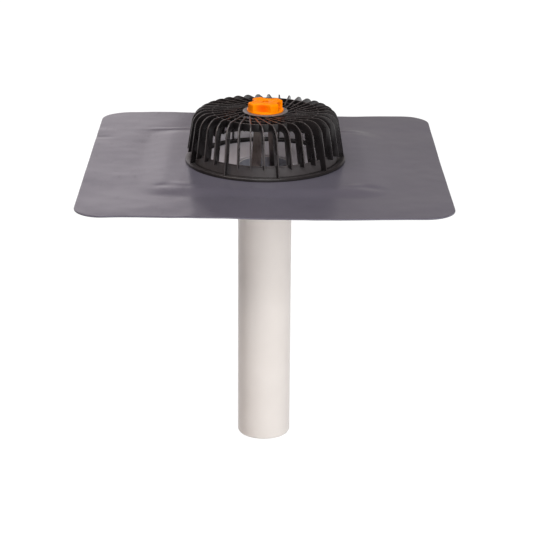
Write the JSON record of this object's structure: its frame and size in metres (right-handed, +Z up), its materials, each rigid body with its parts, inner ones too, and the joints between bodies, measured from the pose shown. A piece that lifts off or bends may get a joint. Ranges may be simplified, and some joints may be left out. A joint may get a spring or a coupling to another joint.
{
  "type": "flat roof drain",
  "caption": "Flat roof drain with a PVC membrane sheet, dished body, push-in outlet pipe, base ring and a swirled black leaf guard held down by an orange screw knob",
  "frame": {"origin": "on the drain's axis, level with the top of the membrane where it lies on the plate", "axes": "+Z up along the drain's axis, away from the roof; +X to the right and -Y to the front"},
  "size_m": [0.49, 0.515, 0.4935],
  "materials": {
    "membrane": "satin blue-grey PVC sheet",
    "body": "grey moulded PVC",
    "pipe": "off-white PVC pipe",
    "black_plastic": "satin black moulded plastic",
    "rubber": "matt black rubber",
    "steel": "stainless steel",
    "washer": "light grey plastic",
    "orange_plastic": "satin orange moulded plastic",
    "brass": "turned brass"
  },
  "bodies": {
    "drain": {"drain_body": "body", "membrane": "membrane", "outlet_pipe": "pipe", "pipe_seal": "rubber", "base_ring": "black_plastic", "leaf_guard": "black_plastic", "yoke": "steel", "front_shoe": "rubber", "back_shoe": "rubber", "stud": "steel", "lock_nut": "steel"},
    "washer": {"washer": "washer"},
    "knob": {"knob": "orange_plastic", "knob_insert": "brass"}
  },
  "joints": [
    {"name": "knob_lift", "type": "slide", "parent": "drain", "child": "washer", "axis": [0, 0, 1], "range_m": [0, 0.0125]},
    {"name": "knob_turn", "type": "hinge", "parent": "washer", "child": "knob", "pos_m": [0, 0, 0.077], "axis": [0, 0, 1], "range_deg": [0, 3600]}
  ],
  "couplings": [
    {"joint": "knob_turn", "follows": "knob_lift", "rad_per_m": 5026.5}
  ]
}
